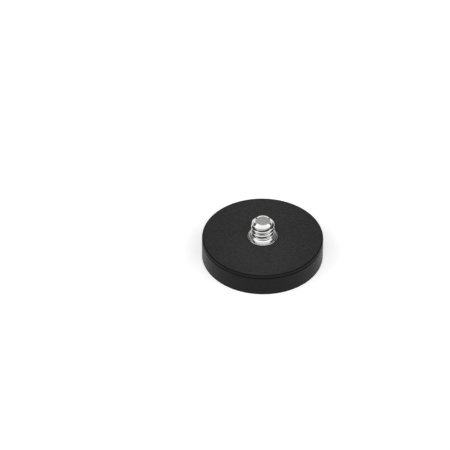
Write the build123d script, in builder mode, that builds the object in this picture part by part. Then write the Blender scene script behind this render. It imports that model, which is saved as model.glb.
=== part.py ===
from build123d import *

import os
from math import cos, pi, radians, sin, tan

# Rubber-coated pot magnet with a flanged 1/4"-20 stud.
# Millimetres, +Z up along the stud's axis. The origin is the centre of the flat holding face underneath.

os.makedirs("parts", exist_ok=True)

# ---- driving dimensions ---------------------------------------------------------------------

# Layers, from the holding face up
boot_floor = 0.8            # rubber under the magnets
magnet_height = 2.5
plate_thickness = 2.0
cover_thickness = 1.3       # plate to top face

# Rubber coat
body_r = 16.5               # outer radius of boot and cover
boot_wall = 1.5             # side wall
foot_chamfer = 0.25         # bottom outer edge of the boot
spigot_height = 0.3         # part of the cover that sits inside the boot's lip
cover_edge_r = 0.45         # rounded top edge of the cover
seam_chamfer = 0.10         # on both edges that meet at the seam
hole_chamfer = 0.12         # round the cover's hole, at the top face

# Magnets and carrier
magnet_count = 10           # even, so that the poles alternate all the way round
magnet_chamfer = 0.2
carrier_rim = 0.65          # outside the pockets
pocket_web = 0.82           # between neighbouring pockets
carrier_hole_r = 4.0        # centre hole, clear of the stud's riveted tail

# Steel plate
plate_chamfer = 0.3

# Stud
collar_r = 4.085
collar_stand = 0.45         # height of the collar above the top face
collar_chamfer = 0.12
stud_height = 5.25          # collar face to stud end
thread_r = 3.175            # major radius, 1/4 inch thread
thread_pitch = 1.27         # 20 threads per inch
thread_angle = 60.0         # between flanks
neck_height = 0.305         # plain ring between the collar and the lowest edge of the groove
groove_start_angle = 80.0   # where the groove reaches its full depth, counted from +X
cutter_r = 3.0              # radius of the round run-out at the groove's start
stud_end_r = 2.05           # outer radius of the rim, where the 45 degree chamfer starts
end_rim = 0.06              # width of the rim round the cupped end
cup_depth = 0.16            # the cup's side slopes in by as much again
tail_r = 2.0                # shank through the plate
tail_head_r = 3.0           # riveted head, flush in the plate's countersink

# Clearances
pocket_clearance = 0.05     # magnet in its pocket, radial
cavity_clearance = 0.10     # plate and carrier inside the boot, radial
spigot_clearance = 0.05     # cover's spigot inside the boot's lip, radial
collar_clearance = 0.03     # cover's hole round the collar, radial
tail_clearance = 0.03       # stud's tail in the plate, radial

# ---- levels and sizes that follow ------------------------------------------------------------

magnet_z = boot_floor
plate_z = magnet_z + magnet_height
plate_top_z = plate_z + plate_thickness
seam_z = plate_top_z + spigot_height
body_height = plate_top_z + cover_thickness
collar_top_z = body_height + collar_stand
stud_top_z = collar_top_z + stud_height

cavity_r = body_r - boot_wall
insert_r = cavity_r - cavity_clearance
spigot_r = cavity_r - spigot_clearance
cover_hole_r = collar_r + collar_clearance
countersink = tail_head_r - tail_r

# The largest pockets that leave the rim outside them and the web between them
half_step = sin(pi / magnet_count)
pocket_r = ((insert_r - carrier_rim) * half_step - pocket_web / 2) / (1 + half_step)
magnet_r = pocket_r - pocket_clearance
magnet_circle_r = insert_r - carrier_rim - pocket_r


def save(piece, label):
    """Label a finished part and write its STEP file under the same name."""
    piece.part.label = label
    export_step(piece.part, f"parts/{label}.step")


# ---- rubber boot: a cup with a flat floor -----------------------------------------------------

with BuildPart() as rubber_boot:
    with BuildSketch(Plane.XZ):
        with BuildLine():
            Polyline(
                (0, 0),
                (body_r - foot_chamfer, 0),
                (body_r, foot_chamfer),
                (body_r, seam_z - seam_chamfer),
                (body_r - seam_chamfer, seam_z),
                (cavity_r, seam_z),
                (cavity_r, boot_floor),
                (0, boot_floor),
                close=True,
            )
        make_face()
    revolve(axis=Axis.Z)
save(rubber_boot, "rubber_boot")

# ---- top cover: a disc on the boot's lip, with a spigot down to the plate ------------------------

with BuildPart() as top_cover:
    with BuildSketch(Plane.XZ):
        with BuildLine():
            Polyline(
                (body_r - cover_edge_r, body_height),
                (cover_hole_r + hole_chamfer, body_height),
                (cover_hole_r, body_height - hole_chamfer),
                (cover_hole_r, plate_top_z),
                (spigot_r, plate_top_z),
                (spigot_r, seam_z),
                (body_r - seam_chamfer, seam_z),
                (body_r, seam_z + seam_chamfer),
                (body_r, body_height - cover_edge_r),
            )
            CenterArc((body_r - cover_edge_r, body_height - cover_edge_r), cover_edge_r, 0, 90)
        make_face()
    revolve(axis=Axis.Z)
save(top_cover, "top_cover")

# ---- yoke plate: a steel disc, countersunk from below for the stud's tail ------------------------

with BuildPart() as yoke_plate:
    with BuildSketch(Plane.XZ):
        with BuildLine():
            Polyline(
                (tail_head_r + tail_clearance, plate_z),
                (insert_r - plate_chamfer, plate_z),
                (insert_r, plate_z + plate_chamfer),
                (insert_r, plate_top_z - plate_chamfer),
                (insert_r - plate_chamfer, plate_top_z),
                (tail_r + tail_clearance, plate_top_z),
                (tail_r + tail_clearance, plate_z + countersink),
                close=True,
            )
        make_face()
    revolve(axis=Axis.Z)
save(yoke_plate, "yoke_plate")

# ---- magnet carrier: a disc with one through pocket for each magnet ------------------------------

with BuildPart() as magnet_carrier:
    with BuildSketch(Plane.XY.offset(magnet_z)):
        Circle(insert_r)
        Circle(carrier_hole_r, mode=Mode.SUBTRACT)
        with PolarLocations(magnet_circle_r, magnet_count):
            Circle(pocket_r, mode=Mode.SUBTRACT)
    extrude(amount=magnet_height)
save(magnet_carrier, "magnet_carrier")

# ---- disc magnets: one node each, at equal steps round the magnet circle -------------------------

for index in range(magnet_count):
    turn = radians(360 / magnet_count * index)
    seat = Plane.XY.offset(magnet_z).move(
        Location((magnet_circle_r * cos(turn), magnet_circle_r * sin(turn), 0))
    )
    with BuildPart() as disc_magnet:
        with BuildSketch(seat):
            Circle(magnet_r)
        extrude(amount=magnet_height)
        chamfer(disc_magnet.edges().filter_by(GeomType.CIRCLE), magnet_chamfer)
    save(disc_magnet, f"disc_magnet_{index + 1:02d}")

# ---- threaded stud: a turned blank with a helical groove cut into it -----------------------------

flank_slope = tan(radians(thread_angle / 2))
sharp_height = thread_pitch / 2 / flank_slope                   # of the V before its tips are cut off
thread_depth = sharp_height * 17 / 24
root_r = thread_r - thread_depth
groove_mouth = thread_pitch * 7 / 8                             # width at the major radius
groove_root = groove_mouth - 2 * thread_depth * flank_slope
past_r = (thread_pitch - groove_mouth) / 4 / flank_slope        # how far the profile passes the crest
past_mouth = groove_mouth + 2 * past_r * flank_slope

groove_start_z = collar_top_z + neck_height + groove_mouth / 2
groove_rise = stud_top_z + groove_mouth - groove_start_z        # the groove leaves past the stud's end
groove_start = Plane.XY.offset(groove_start_z).rotated((0, 0, groove_start_angle))
groove_section = Plane(origin=groove_start.origin, x_dir=groove_start.x_dir, z_dir=-groove_start.y_dir)
# The helix is made from the +X side and then turned to the groove's start
groove_path = groove_start.location * Helix(pitch=thread_pitch, height=groove_rise, radius=thread_r)
cutter_axis = Axis(groove_start.origin + groove_start.x_dir * (root_r + cutter_r), (0, 0, 1))

with BuildPart() as threaded_stud:
    with BuildSketch(Plane.XZ):
        with BuildLine():
            Polyline(
                (0, plate_z),
                (tail_head_r, plate_z),
                (tail_r, plate_z + countersink),
                (tail_r, plate_top_z),
                (collar_r, plate_top_z),
                (collar_r, collar_top_z - collar_chamfer),
                (collar_r - collar_chamfer, collar_top_z),
                (thread_r, collar_top_z),
                (thread_r, stud_top_z - (thread_r - stud_end_r)),
                (stud_end_r, stud_top_z),
                (stud_end_r - end_rim, stud_top_z),
                (stud_end_r - end_rim - cup_depth, stud_top_z - cup_depth),
                (0, stud_top_z - cup_depth),
                close=True,
            )
        make_face()
    revolve(axis=Axis.Z)
    with BuildSketch(groove_section):
        with BuildLine():
            Polyline(
                (root_r, -groove_root / 2),
                (root_r, groove_root / 2),
                (thread_r + past_r, past_mouth / 2),
                (thread_r + past_r, -past_mouth / 2),
                close=True,
            )
        make_face()
    sweep(path=groove_path, is_frenet=True, mode=Mode.SUBTRACT)
    # Run-out: a disc with the same V edge, standing beside the stud, touches the root at the start
    with BuildSketch(groove_section):
        with BuildLine():
            Polyline(
                (root_r, -groove_root / 2),
                (root_r, groove_root / 2),
                (thread_r + past_r, past_mouth / 2),
                (root_r + cutter_r, past_mouth / 2),
                (root_r + cutter_r, -past_mouth / 2),
                (thread_r + past_r, -past_mouth / 2),
                close=True,
            )
        make_face()
    revolve(axis=cutter_axis, mode=Mode.SUBTRACT)
save(threaded_stud, "threaded_stud")
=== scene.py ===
import math

import bmesh
import bpy
import numpy as np
from mathutils import Matrix, Vector


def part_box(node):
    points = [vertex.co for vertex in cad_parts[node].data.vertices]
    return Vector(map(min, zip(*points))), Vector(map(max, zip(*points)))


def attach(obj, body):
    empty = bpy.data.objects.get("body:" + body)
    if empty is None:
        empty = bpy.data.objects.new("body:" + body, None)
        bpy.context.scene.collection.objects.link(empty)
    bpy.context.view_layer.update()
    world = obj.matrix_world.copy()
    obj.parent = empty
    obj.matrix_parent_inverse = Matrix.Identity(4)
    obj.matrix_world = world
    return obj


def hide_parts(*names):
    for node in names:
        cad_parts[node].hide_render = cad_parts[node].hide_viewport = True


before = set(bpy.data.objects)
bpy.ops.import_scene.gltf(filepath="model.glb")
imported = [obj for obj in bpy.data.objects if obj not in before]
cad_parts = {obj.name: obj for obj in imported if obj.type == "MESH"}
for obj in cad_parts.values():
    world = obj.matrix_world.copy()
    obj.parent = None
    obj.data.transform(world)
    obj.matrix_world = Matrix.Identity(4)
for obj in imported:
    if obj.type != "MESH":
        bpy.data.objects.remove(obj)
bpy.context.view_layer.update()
mm = 0.001
print("frame loaded:", len(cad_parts), "nodes")


# Outer radius, lowest and highest level of a round CAD node, in millimetres
def roundSize(node):
    low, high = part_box(node)
    return high.x / mm, low.z / mm, high.z / mm


bootRadius, bootBottom, bootTop = roundSize("rubber_boot")
coverRadius, coverBottom, coverTop = roundSize("top_cover")
collarRadius, studBottom, studTop = roundSize("threaded_stud")
plateTop = roundSize("yoke_plate")[2]


# Smaller of two values, with the crease between them rounded: w is how far from the crease the rounding starts.
# With b = 1/2 + (q - p) / 2w held in 0..1, the result is q + (p - q) b - w b (1 - b).
def softMin(p, q, width):
    b = np.clip(0.5 + 0.5 * (q - p) / width, 0, 1)
    return q + (p - q) * b - width * b * (1 - b)


def softMax(p, q, width):
    return -softMin(-p, -q, width)


# Outline through corners given as (radius, height, rounding): straight sides joined by tangent arcs.
# An arc's points are centre + rounding * (cos a, sin a), with a running between its two tangent points.
def roundedOutline(corners, arcSteps=8):
    spots = np.array([corner[:2] for corner in corners], float)
    parts = []
    for i, (here, rounding) in enumerate(zip(spots, [corner[2] for corner in corners])):
        if rounding <= 0:
            parts.append(here[None])
            continue
        toBefore, toAfter = spots[i - 1] - here, spots[(i + 1) % len(spots)] - here
        toBefore, toAfter = toBefore / np.linalg.norm(toBefore), toAfter / np.linalg.norm(toAfter)
        halfAngle = math.acos(np.clip(toBefore @ toAfter, -1, 1)) / 2
        inwards = (toBefore + toAfter) / np.linalg.norm(toBefore + toAfter)
        centre = here + inwards * rounding / math.sin(halfAngle)
        first, last = (here + to * rounding / math.tan(halfAngle) - centre for to in (toBefore, toAfter))
        startAngle = math.atan2(first[1], first[0])
        sweep = (math.atan2(last[1], last[0]) - startAngle + math.pi) % (2 * math.pi) - math.pi
        angles = startAngle + sweep * np.linspace(0, 1, arcSteps + 1)
        parts.append(centre + rounding * np.stack([np.cos(angles), np.sin(angles)], 1))
    return np.concatenate(parts)


# Extra points on the straight stretches, so that no step along the outline is longer than the limit
def subdivided(outline, longest, closed=False):
    ends = np.roll(outline, -1, 0) if closed else outline[1:]
    starts = outline if closed else outline[:-1]
    parts = []
    for start, end in zip(starts, ends):
        steps = max(1, math.ceil(np.linalg.norm(end - start) / longest))
        parts.append(start + (end - start) * (np.arange(steps) / steps)[:, None])
    return np.concatenate(parts if closed else parts + [outline[-1:]])


# Lathe: outline point (r, z) carried round the axis gives (r cos t, r sin t, z).
# wobble(t, r, z) returns small outward and upward offsets that keep a moulded piece from being perfect.
def lathe(outline, columns, wobble=None):
    turn = np.linspace(0, 2 * math.pi, columns, endpoint=False)[None, :]
    radius = np.repeat(outline[:, :1], columns, 1)
    height = np.repeat(outline[:, 1:], columns, 1)
    if wobble:
        outwards, upwards = wobble(turn, radius, height)
        radius, height = radius + outwards, height + upwards
    return np.stack([radius * np.cos(turn), radius * np.sin(turn), height], -1)


# Mean of a few waves round the axis, finer ones lower, with phases from a seeded draw
def aroundWaves(turn, harmonics, seed):
    phases = np.random.default_rng(seed).uniform(0, 2 * math.pi, len(harmonics))
    waves = [np.cos(n * turn + phase) / math.sqrt(n) for n, phase in zip(harmonics, phases)]
    return sum(waves) / len(harmonics)


# Quads of a grid that closes round its columns. The last column joins the first one "rise" rows further on,
# which is 0 on a lathe and one pitch on a thread; a closed profile also joins its last row to its first.
def gridFaces(rows, columns, closedRows=False, rise=0):
    row = np.arange(rows if closedRows else rows - 1)[:, None]
    column = np.arange(columns)[None, :]
    nextColumn = (column + 1) % columns
    climbed = row + np.where(nextColumn == 0, rise, 0)
    step = (lambda r: (r + 1) % rows) if closedRows else (lambda r: r + 1)
    quads = np.stack([
        row * columns + column, climbed * columns + nextColumn,
        step(climbed) * columns + nextColumn, step(row) * columns + column,
    ], -1).reshape(-1, 4)
    return quads[(quads < rows * columns).all(1)]


# Joins grids given as (points in millimetres, quads) into one closed piece with smooth shading
def buildPiece(name, grids, material, mergeWithin=1e-7):
    offsets = np.cumsum([0] + [points.size // 3 for points, quads in grids])
    points = np.concatenate([points.reshape(-1, 3) for points, quads in grids])
    quads = np.concatenate([quads + offset for (_, quads), offset in zip(grids, offsets)])
    mesh = bpy.data.meshes.new(name)
    mesh.vertices.add(len(points))
    mesh.vertices.foreach_set("co", (points * mm).astype(np.float32).ravel())
    mesh.loops.add(quads.size)
    mesh.loops.foreach_set("vertex_index", quads.astype(np.int32).ravel())
    mesh.polygons.add(len(quads))
    mesh.polygons.foreach_set("loop_start", np.arange(0, quads.size, 4, dtype=np.int32))
    mesh.update(calc_edges=True)
    work = bmesh.new()
    work.from_mesh(mesh)
    bmesh.ops.remove_doubles(work, verts=work.verts, dist=mergeWithin)   # closes the poles and the joins
    bmesh.ops.recalc_face_normals(work, faces=work.faces)
    work.to_mesh(mesh)
    work.free()
    mesh.polygons.foreach_set("use_smooth", np.ones(len(mesh.polygons), bool))
    mesh.materials.append(material)
    piece = bpy.data.objects.new(name, mesh)
    bpy.context.scene.collection.objects.link(piece)
    return piece


class Signal:
    # An output socket that can be used in arithmetic: each operator adds one Math node
    def __init__(self, wires, socket):
        self.wires, self.socket = wires, socket

    def math(self, operation, first, second=None):
        values = {0: first} if second is None else {0: first, 1: second}
        return self.wires.node("ShaderNodeMath", {"operation": operation}, values)

    def __add__(self, other):
        return self.math("ADD", self, other)

    def __sub__(self, other):
        return self.math("SUBTRACT", self, other)

    def __rsub__(self, other):
        return self.math("SUBTRACT", other, self)

    def __mul__(self, other):
        return self.math("MULTIPLY", self, other)

    def __truediv__(self, other):
        return self.math("DIVIDE", self, other)

    def __pow__(self, other):
        return self.math("POWER", self, other)

    __radd__, __rmul__ = __add__, __mul__

    def sine(self):
        return self.math("SINE", self)

    # 0 below low, 1 above high, smooth in between
    def between(self, low, high):
        sockets = {"Value": self, "From Min": low, "From Max": high}
        return self.wires.node("ShaderNodeMapRange", {"interpolation_type": "SMOOTHSTEP"}, sockets)


class Wires:
    def __init__(self, tree):
        self.tree = tree
        tree.nodes.clear()

    # One node: its settings first, then the values or links of its sockets
    def node(self, kind, settings, sockets, output=0):
        made = self.tree.nodes.new(kind)
        for key, value in settings.items():
            setattr(made, key, value)
        for key, value in sockets.items():
            if isinstance(value, Signal):
                self.tree.links.new(value.socket, made.inputs[key])
            else:
                made.inputs[key].default_value = value
        return Signal(self, made.outputs[output]) if output is not None else made

    def split(self, vector):
        return [self.node("ShaderNodeSeparateXYZ", {}, {0: vector}, output=i) for i in range(3)]

    def noise(self, place, perMm, detail=3, roughness=0.5):
        sockets = {"Vector": place, "Scale": perMm, "Detail": detail, "Roughness": roughness}
        return self.node("ShaderNodeTexNoise", {}, sockets)

    # Two colours by a factor
    def mix(self, factor, first, second):
        return self.node("ShaderNodeMix", {"data_type": "RGBA"}, {0: factor, 6: first, 7: second}, output=2)

    def bump(self, height, depth):
        return self.node("ShaderNodeBump", {}, {"Height": height, "Distance": depth * mm, "Strength": 1.0})


# A material's nodes, with the place in millimetres and the distance from the axis ready to use
class Look(Wires):
    def __init__(self, name):
        self.material = bpy.data.materials.new(name)
        self.material.use_nodes = True
        super().__init__(self.material.node_tree)
        self.surface = self.tree.nodes.new("ShaderNodeBsdfPrincipled")
        self.node("ShaderNodeOutputMaterial", {}, {0: Signal(self, self.surface.outputs[0])}, output=None)
        inMetres = self.node("ShaderNodeTexCoord", {}, {}, output=3)
        toMm = {0: inMetres, 1: (1 / mm, 1 / mm, 1 / mm)}
        self.place = self.node("ShaderNodeVectorMath", {"operation": "MULTIPLY"}, toMm)
        self.x, self.y, self.z = self.split(self.place)
        self.fromAxis = (self.x * self.x + self.y * self.y) ** 0.5

    def set(self, sockets):
        for key, value in sockets.items():
            if isinstance(value, Signal):
                self.tree.links.new(value.socket, self.surface.inputs[key])
            else:
                self.surface.inputs[key].default_value = value
        return self.material


def grey(level):
    return (level, level, level, 1)


rubber = {
    "wallDark": 0.0057, "wallLight": 0.0082,      # base colour of the smooth side
    "rimLevel": 0.0065,                           # and of the glossier rounded rim
    "topDark": 0.0203, "topLight": 0.0355,        # base colour of the grained top
    "wallRoughness": 0.40, "topRoughness": 0.66,
    "specular": 0.11,
    "mottlePerMm": 1.5, "grainPerMm": 4.2, "wallGrainPerMm": 6.0,
    "grainDepth": 0.030, "wallGrainDepth": 0.004,
    "rubbedAndHighlight": 0.036,                              # colour of the rubbed foot, and of the painted highlight line at the top's edge
}


# Smooth black side: cloudy gloss, a fine skin, the band round the seam painted darker as painted shade, and the foot
# rubbed a little grey
def sideRubber(look):
    v = rubber
    cloud = look.noise(look.place, 0.35, 3, 0.55)
    mottle = look.noise(look.place, v["mottlePerMm"], 4, 0.6)
    skin = look.noise(look.place, v["wallGrainPerMm"], 3)
    colour = look.mix(mottle.between(0.35, 0.65), grey(v["wallDark"]), grey(v["wallLight"]))
    rough = v["wallRoughness"] + (mottle - 0.5) * 0.14 + (cloud - 0.5) * 0.12
    # Painted shade: the band round the seam between boot and cover is darkened towards near black
    paintedSeamShade = look.z.between(bootTop - 0.22, bootTop - 0.04) * (1 - look.z.between(bootTop + 0.10, bootTop + 0.42))
    colour = look.mix(paintedSeamShade * 0.8, colour, grey(0.001))
    return colour, rough + paintedSeamShade * 0.45, skin * v["wallGrainDepth"]


def bootRubber():
    v, look = rubber, Look("bootRubber")
    colour, rough, skin = sideRubber(look)
    scuff = look.noise(look.place, 0.9, 4, 0.65).between(0.48, 0.62)
    foot = 1 - look.z.between(bootBottom + 0.01, bootBottom + 0.12)
    colour = look.mix(foot * look.fromAxis.between(bootRadius - 0.5, bootRadius - 0.1) * scuff * 0.2,
                      colour, grey(v["rubbedAndHighlight"]))
    return look.set({"Base Color": colour, "Roughness": rough, "Normal": look.bump(skin, 1.0),
                     "Specular IOR Level": v["specular"]})


# Side finish on the rim, and inside it the matt top face: moulded grain, mottled grey, and a painted highlight line at
# the edge
def coverRubber():
    v, look = rubber, Look("coverRubber")
    colour, rough, skin = sideRubber(look)
    flatEdge = coverRadius - cover["edgeRound"]
    onTop = (1 - look.fromAxis.between(flatEdge - 0.02, flatEdge + 0.14)) * look.z.between(coverTop - 0.2, coverTop - 0.08)
    mottle = look.noise(look.place, v["mottlePerMm"], 5, 0.62)
    grain = look.noise(look.place, v["grainPerMm"], 4, 0.6)
    shade = mottle * 0.38 + grain * 0.62
    topColour = look.mix(shade.between(0.40, 0.60), grey(v["topDark"]), grey(v["topLight"]))
    # Painted highlight: a lighter, broken line just inside the rounded edge of the top face
    paintedEdgeHighlight = look.fromAxis.between(flatEdge - 0.30, flatEdge) * grain.between(0.42, 0.58)
    topColour = look.mix(paintedEdgeHighlight * 0.45, topColour, grey(v["rubbedAndHighlight"]))
    onRim = look.z.between(bootTop + 0.02, bootTop + 0.12)
    colour = look.mix(onTop, look.mix(onRim, colour, grey(v["rimLevel"])), topColour)
    rough = rough + onTop * (v["topRoughness"] - v["wallRoughness"] + (grain - 0.5) * 0.2)
    height = skin * (1 - onTop) + (grain + mottle) * onTop * v["grainDepth"]
    return look.set({"Base Color": colour, "Roughness": rough, "Normal": look.bump(height, 1.0),
                     "Specular IOR Level": v["specular"]})


plating = {
    # The second colour is painted shade for the thread roots
    "colour": (0.80, 0.80, 0.79, 1), "rootShadeColour": (0.20, 0.19, 0.18, 1),
    "roughness": 0.09, "endRoughness": 0.50, "shadedRootRoughness": 0.35,
    "ringsPerMm": 8.0, "ringDepth": 0.0005, "endRingDepth": 0.0030,
}


# Bright nickel: turned rings on the flat end and the collar, cloudy gloss, and painted shade darkening the roots of the
# thread, broken into specks
def brightPlating():
    v, look = plating, Look("brightPlating")
    cloud = look.noise(look.place, 1.3, 3, 0.55)
    speck = look.noise(look.place, 9.0, 3, 0.6)
    rings = (look.fromAxis * (v["ringsPerMm"] * 2 * math.pi) + cloud * 4).sine()
    inCup = stud["endRadius"] - stud["rimWidth"] - stud["cupDepth"]
    onEnd = look.z.between(studTop - 0.4, studTop - 0.3) * (1 - look.fromAxis.between(inCup - 0.04, inCup))
    onCollar = look.fromAxis.between(stud["threadRadius"] + 0.1, stud["threadRadius"] + 0.2)
    # Painted shade: the roots of the thread, between collar and end, are darkened in specks
    inRoot = (1 - look.fromAxis.between(2.42, 2.70)) * (1 - onEnd) * look.z.between(collarTop, collarTop + 0.3)
    inRoot = inRoot * (1 - look.z.between(studTop - 0.6, studTop - 0.4))
    paintedRootShade = inRoot * speck.between(0.30, 0.65)
    colour = look.mix(paintedRootShade * 0.75, v["colour"], v["rootShadeColour"])
    rough = (v["roughness"] + onEnd * (v["endRoughness"] - v["roughness"]) + (cloud - 0.5) * 0.08
             + paintedRootShade * (v["shadedRootRoughness"] - v["roughness"]))
    height = rings * (onCollar * v["ringDepth"] + onEnd * v["endRingDepth"]) + speck * v["ringDepth"]
    return look.set({"Base Color": colour, "Roughness": rough, "Normal": look.bump(height, 1.0), "Metallic": 1.0})


# Plated sheet or pressed magnet: fine grain and cloudy gloss
def plainMetal(name, colour, roughness, grainPerMm):
    look = Look(name)
    cloud = look.noise(look.place, 0.8, 3, 0.55)
    grain = look.noise(look.place, grainPerMm, 4, 0.6)
    dull = tuple(0.85 * c for c in colour)
    shade = look.mix(cloud.between(0.3, 0.7), (*dull, 1), (*colour, 1))
    rough = roughness + (cloud - 0.5) * 0.12 + (grain - 0.5) * 0.08
    return look.set({"Base Color": shade, "Roughness": rough, "Normal": look.bump(grain, 0.003), "Metallic": 1.0})


# Dark moulded plastic with a faint spark-eroded texture
def carrierPlastic():
    look = Look("carrierPlastic")
    cloud = look.noise(look.place, 0.6, 3)
    grain = look.noise(look.place, 6.0, 4, 0.6)
    shade = look.mix(cloud.between(0.3, 0.7), grey(0.020), grey(0.030))
    rough = 0.5 + (grain - 0.5) * 0.15
    return look.set({"Base Color": shade, "Roughness": rough, "Normal": look.bump(grain, 0.008)})


boot = {
    "wall": 1.5, "floor": 0.8,
    "footRound": 0.20, "lipRound": 0.09, "lipInnerRound": 0.04, "cornerRound": 0.15,
    "slotDeep": 0.9, "slotHalf": 0.09,   # the lip stands this far short of the cover's, outside its seat
    "columns": 288, "longestStep": 0.45,
    "wander": 0.012,                # how far the moulded wall strays from a true circle
}


def makeBoot():
    inner = bootRadius - boot["wall"]
    floorTop = bootBottom + boot["floor"]
    outline = subdivided(roundedOutline([
        (0, bootBottom, 0), (bootRadius, bootBottom, boot["footRound"]),
        (bootRadius, bootTop - boot["slotHalf"], boot["lipRound"]),
        (bootRadius - boot["slotDeep"], bootTop - boot["slotHalf"], 0), (bootRadius - boot["slotDeep"], bootTop, 0),
        (inner, bootTop, boot["lipInnerRound"]), (inner, floorTop, boot["cornerRound"]), (0, floorTop, 0),
    ]), boot["longestStep"])

    # The wall wanders inwards by hundredths of a millimetre; the flat floor stays flat
    def wobble(turn, radius, height):
        onWall = np.clip((radius - inner) / boot["wall"], 0, 1) * np.clip(height - bootBottom, 0, 1)
        return boot["wander"] * (aroundWaves(turn, (2, 3, 5, 9, 14), 3) - 1) * onWall, 0 * height

    points = lathe(outline, boot["columns"], wobble)
    return buildPiece("rubberBoot", [(points, gridFaces(*points.shape[:2]))], bootRubber())


cover = {
    "wall": 1.5, "spigotGap": 0.05, "holeGap": 0.03,
    "edgeRound": 0.45, "lipRound": 0.07, "holeRound": 0.12, "innerRound": 0.05,
    "columns": 288, "longestStep": 0.45,
    "dish": 0.02, "wander": 0.012,
}


def makeCover():
    spigot = coverRadius - cover["wall"] - cover["spigotGap"]
    hole = collarRadius + cover["holeGap"]
    outline = subdivided(roundedOutline([
        (coverRadius, coverTop, cover["edgeRound"]), (hole, coverTop, cover["holeRound"]),
        (hole, coverBottom, cover["innerRound"]), (spigot, coverBottom, cover["innerRound"]),
        (spigot, bootTop, 0), (coverRadius - boot["slotDeep"], bootTop, 0),
        (coverRadius - boot["slotDeep"], bootTop + boot["slotHalf"], 0),
        (coverRadius, bootTop + boot["slotHalf"], cover["lipRound"]),
    ], 10), cover["longestStep"], closed=True)

    # The top face sinks by a sine between hole and edge, and the rim wanders like the boot's wall
    def wobble(turn, radius, height):
        across = np.clip((radius - hole) / (coverRadius - hole), 0, 1)
        onTop = np.clip((height - coverTop) / 0.2 + 1, 0, 1)
        sink = -cover["dish"] * np.sin(math.pi * across) * onTop * (1 + 0.4 * aroundWaves(turn, (2, 3, 5), 8))
        rim = np.clip((radius - spigot) / cover["wall"], 0, 1)
        return cover["wander"] * (aroundWaves(turn, (2, 3, 5, 9, 14), 4) - 1) * rim, sink

    points = lathe(outline, cover["columns"], wobble)
    return buildPiece("topCover", [(points, gridFaces(*points.shape[:2], closedRows=True))], coverRubber())


stud = {
    "threadRadius": 3.175, "pitch": 1.27, "halfAngle": 30.0, "depthShare": 17 / 24, "mouthShare": 7 / 8,
    "collarStand": 0.45, "collarRound": 0.16, "collarDish": 0.09, "neck": 0.305, "neckRound": 0.12,
    "startAngle": 80.0, "cutterRadius": 3.0,
    "crestRound": 0.24, "rootRound": 0.08, "chamferRound": 0.32,
    "endRadius": 2.05, "rimWidth": 0.06, "rimRound": 0.05, "cupDepth": 0.16,
    "tailRadius": 2.0, "tailHead": 3.0,
    "columns": 240, "rowsPerPitch": 36,
}
collarTop = coverTop + stud["collarStand"]


# Thread: r = thread radius - depth of a V whose centre climbs one pitch a turn, kept within a 45 degree end chamfer.
# Rows follow the helix: row i, column j stands at start + (i / rowsPerPitch + j / columns) * pitch,
# held between the neck and the chamfer. Before its start the V backs out along the round cutter's edge:
# at angle a the cutter reaches in to d cos a - sqrt(c^2 - d^2 sin^2 a), for its radius c and axis distance d.
def threadGrid(lowest, highest):
    pitch, radius, columns, perPitch = stud["pitch"], stud["threadRadius"], stud["columns"], stud["rowsPerPitch"]
    slope = math.tan(math.radians(stud["halfAngle"]))
    depth = pitch / 2 / slope * stud["depthShare"]
    mouth = pitch * stud["mouthShare"]
    firstCentre = collarTop + stud["neck"] + mouth / 2
    centreAtX = firstCentre - stud["startAngle"] / 360 * pitch          # the same helix over the +X side
    start = centreAtX - pitch * math.ceil((centreAtX - lowest) / pitch + 1)
    rows = perPitch * (math.ceil((highest - start) / pitch) + 1)
    phase = np.arange(rows)[:, None] / perPitch
    turn = np.arange(columns)[None, :] / columns
    height = start + (phase + turn) * pitch
    fromCentre = ((phase + 0.5) % 1 - 0.5) * pitch
    turnsIn = (height - fromCentre - firstCentre) / pitch

    cut = (mouth / 2 - np.abs(fromCentre)) / slope
    cut = softMin(cut, np.full_like(cut, depth), stud["rootRound"])
    cutter = stud["cutterRadius"]
    axisDistance = radius - depth + cutter
    backAngle = np.clip(-turnsIn, 0, 0.09) * 2 * math.pi              # past this the cutter is clear of the stud
    reach = axisDistance * np.cos(backAngle) - np.sqrt(cutter ** 2 - (axisDistance * np.sin(backAngle)) ** 2)
    cut = softMax(cut - (reach - radius + depth), np.zeros_like(cut), stud["crestRound"])
    chamfer = stud["endRadius"] + studTop - height
    threaded = softMin(radius - cut, chamfer, stud["chamferRound"])
    threaded = np.where(height <= lowest, radius, threaded)
    threaded = np.where(height >= highest, stud["endRadius"] + studTop - highest, threaded)
    height = np.clip(height, lowest, highest)
    angle = turn * 2 * math.pi
    points = np.stack([threaded * np.cos(angle), threaded * np.sin(angle), height], -1)
    quads = gridFaces(rows, columns, rise=perPitch)
    level = height.ravel()[quads]
    return points, quads[~((level <= lowest).all(1) | (level >= highest).all(1))]


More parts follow.
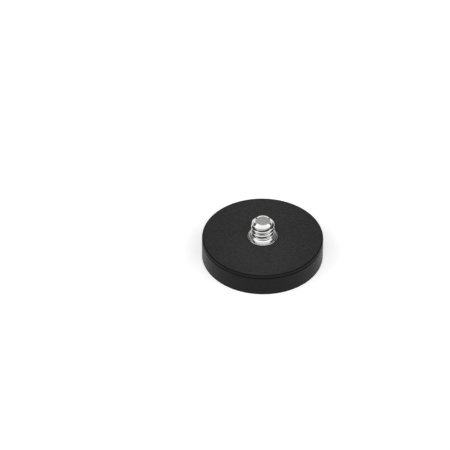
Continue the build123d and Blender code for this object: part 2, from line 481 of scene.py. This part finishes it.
def makeStud():
    radius, columns = stud["threadRadius"], stud["columns"]
    highest = studTop - stud["rimRound"]
    rim = stud["endRadius"] - stud["rimWidth"]
    cupFloor = studTop - stud["cupDepth"]
    countersink = stud["tailHead"] - stud["tailRadius"]
    below = roundedOutline([
        (0, studBottom, 0), (stud["tailHead"], studBottom, 0.05),
        (stud["tailRadius"], studBottom + countersink, 0.05), (stud["tailRadius"], plateTop, 0.05),
        (collarRadius, plateTop, 0.08), (collarRadius, collarTop - stud["collarDish"], stud["collarRound"]),
        (radius, collarTop, stud["neckRound"]), (radius, collarTop + 1, 0),
    ])[:-1]
    lowest = below[-1, 1]                       # the neck's rounding ends and the thread's rows begin
    above = roundedOutline([
        (stud["endRadius"] + studTop - highest, highest, 0), (stud["endRadius"], studTop, stud["rimRound"]),
        (rim, studTop, stud["rimRound"]), (rim - stud["cupDepth"], cupFloor, 0.03), (0, cupFloor, 0),
    ])
    grids = [threadGrid(lowest, highest)]
    for outline in (subdivided(below, 0.4), subdivided(above, 0.3)):
        points = lathe(outline, columns)
        grids.append((points, gridFaces(*points.shape[:2])))
    return buildPiece("threadedStud", grids, brightPlating(), mergeWithin=2e-7)


for make, node, finish in (
    (makeBoot, "rubber_boot", "rubber_coat"),
    (makeCover, "top_cover", "rubber_coat"),
    (makeStud, "threaded_stud", "stud_plating"),
):
    piece = make()
    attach(piece, "root")
    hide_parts(node)
    print(node, "made")


innerFinishes = {
    "yoke_plate": plainMetal("zincSteel", (0.62, 0.63, 0.66), 0.32, 6.0),
    "magnet_carrier": carrierPlastic(),
    "disc_magnet": plainMetal("magnetNickel", (0.74, 0.72, 0.68), 0.20, 10.0),
}
for name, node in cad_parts.items():
    for start, material in innerFinishes.items():
        if name.startswith(start):
            node.data.materials.clear()
            node.data.materials.append(material)
print("inner pieces finished")


# Lengths in metres, light levels as a share of white
studio = {
    "floorHalf": 6.0, "floorLevel": 0.80, "floorGlow": 0.50,
    "horizon": 1.0, "overhead": 0.06, "softboxLow": 2.00, "softboxHigh": 1.40, "backdrop": 0.08, "behind": 1.40,
    "keyPower": 2.0, "keyAzimuth": 0, "keyElevation": 60, "keySize": 0.8,
    "stripHeight": 0.0225, "stripWidth": 0.008, "stripLength": 0.050, "stripPower": 0.0024,
}
# In millimetres and degrees
view = {
    "distance": 1000.0, "elevation": 39.95, "roll": 0.35,
    "acrossFrame": 122.80,          # width that the picture takes in, at the object
    "aimLeft": 10.19, "aimUp": 8.175,  # the middle of the picture, from the object's origin, across the view
}


def makeFloor():
    half = studio["floorHalf"]
    mesh = bpy.data.meshes.new("floor")
    mesh.from_pydata([(-half, -half, 0), (half, -half, 0), (half, half, 0), (-half, half, 0)], [], [(0, 1, 2, 3)])
    look = Look("paperFloor")
    fibre = look.noise(look.place, 0.4, 4, 0.6)
    level = studio["floorLevel"]
    colour = look.mix(fibre.between(0.3, 0.7), grey(level * 0.985), grey(level))
    look.set({"Base Color": colour, "Roughness": 0.85, "Specular IOR Level": 0.2,
              "Emission Color": colour, "Emission Strength": studio["floorGlow"] / level})
    fromBelow = look.node("ShaderNodeNewGeometry", {}, {}, output=6)
    clear = look.node("ShaderNodeBsdfTransparent", {}, {})
    shader = look.node("ShaderNodeMixShader", {}, {0: fromBelow, 1: Signal(look, look.surface.outputs[0]), 2: clear})
    look.node("ShaderNodeOutputMaterial", {"is_active_output": True}, {0: shader}, output=None)
    mesh.materials.append(look.material)
    floor = bpy.data.objects.new("floor", mesh)
    bpy.context.scene.collection.objects.link(floor)


# Tent seen in the plating: a bright horizon, a softbox over the camera's side, a narrow bright strip straight behind,
# and a dark roof and backdrop between them
def makeSky():
    world = bpy.data.worlds.new("softTent")
    bpy.context.scene.world = world
    world.use_nodes = True
    wires = Wires(world.node_tree)
    x, y, z = wires.split(wires.node("ShaderNodeTexCoord", {}, {}, output=0))
    towardsCamera = (0 - y) / ((x * x + y * y + 1e-6) ** 0.5)
    inSoftbox = towardsCamera.between(-0.20, 0.05)
    softbox = studio["softboxLow"] + (studio["softboxHigh"] - studio["softboxLow"]) * z.between(0.45, 0.72)
    behind = (0 - towardsCamera).between(0.980, 0.998)
    level = studio["backdrop"] + (studio["behind"] - studio["backdrop"]) * behind
    level = level + (softbox - level) * inSoftbox
    roof = z.between(0.80, 0.90)
    level = level * (1 - roof) + studio["overhead"] * roof
    low = 1 - z.between(0.17, 0.36)
    level = level * (1 - low) + studio["horizon"] * low
    background = wires.node("ShaderNodeBackground", {}, {"Strength": level})
    wires.node("ShaderNodeOutputWorld", {}, {0: background}, output=None)


# A lamp that faces the object, oblong if it has a length. Azimuth 0 is the camera's side, 90 its right.
# It lights the rubber and the floor but isn't mirrored in the plating, which shows the tent alone.
def areaLight(name, azimuth, elevation, distance, size, power, length=0):
    a, e = math.radians(azimuth), math.radians(elevation)
    away = Vector((math.sin(a) * math.cos(e), -math.cos(a) * math.cos(e), math.sin(e)))
    light = bpy.data.lights.new(name, "AREA")
    light.size, light.energy = size, power
    if length:
        light.shape, light.size_y = "RECTANGLE", length
    lamp = bpy.data.objects.new(name, light)
    lamp.matrix_world = Matrix.Translation(away * distance) @ away.to_track_quat("Z", "Y").to_matrix().to_4x4()
    lamp.visible_camera = lamp.visible_glossy = False
    bpy.context.scene.collection.objects.link(lamp)


def makeCamera():
    e, roll = math.radians(view["elevation"]), math.radians(view["roll"])
    back = Vector((0, -math.cos(e), math.sin(e)))
    right = Matrix.Rotation(roll, 3, back) @ Vector((1, 0, 0))
    up = back.cross(right)
    camera = bpy.data.cameras.new("camera")
    camera.lens = camera.sensor_width * view["distance"] / view["acrossFrame"]
    camera.clip_start, camera.clip_end = 0.01, 50
    holder = bpy.data.objects.new("camera", camera)
    place = (back * view["distance"] - right * view["aimLeft"] + up * view["aimUp"]) * mm
    holder.matrix_world = Matrix.Translation(place) @ Matrix((right, up, back)).transposed().to_4x4()
    bpy.context.scene.collection.objects.link(holder)
    bpy.context.scene.camera = holder


makeFloor()
makeSky()
areaLight("keyLight", studio["keyAzimuth"], studio["keyElevation"], 1.0, studio["keySize"], studio["keyPower"])
areaLight("stripLight", 0, 90, studio["stripHeight"], studio["stripWidth"], studio["stripPower"], studio["stripLength"])
makeCamera()
bpy.context.scene.view_settings.view_transform = "Standard"
print("studio made")
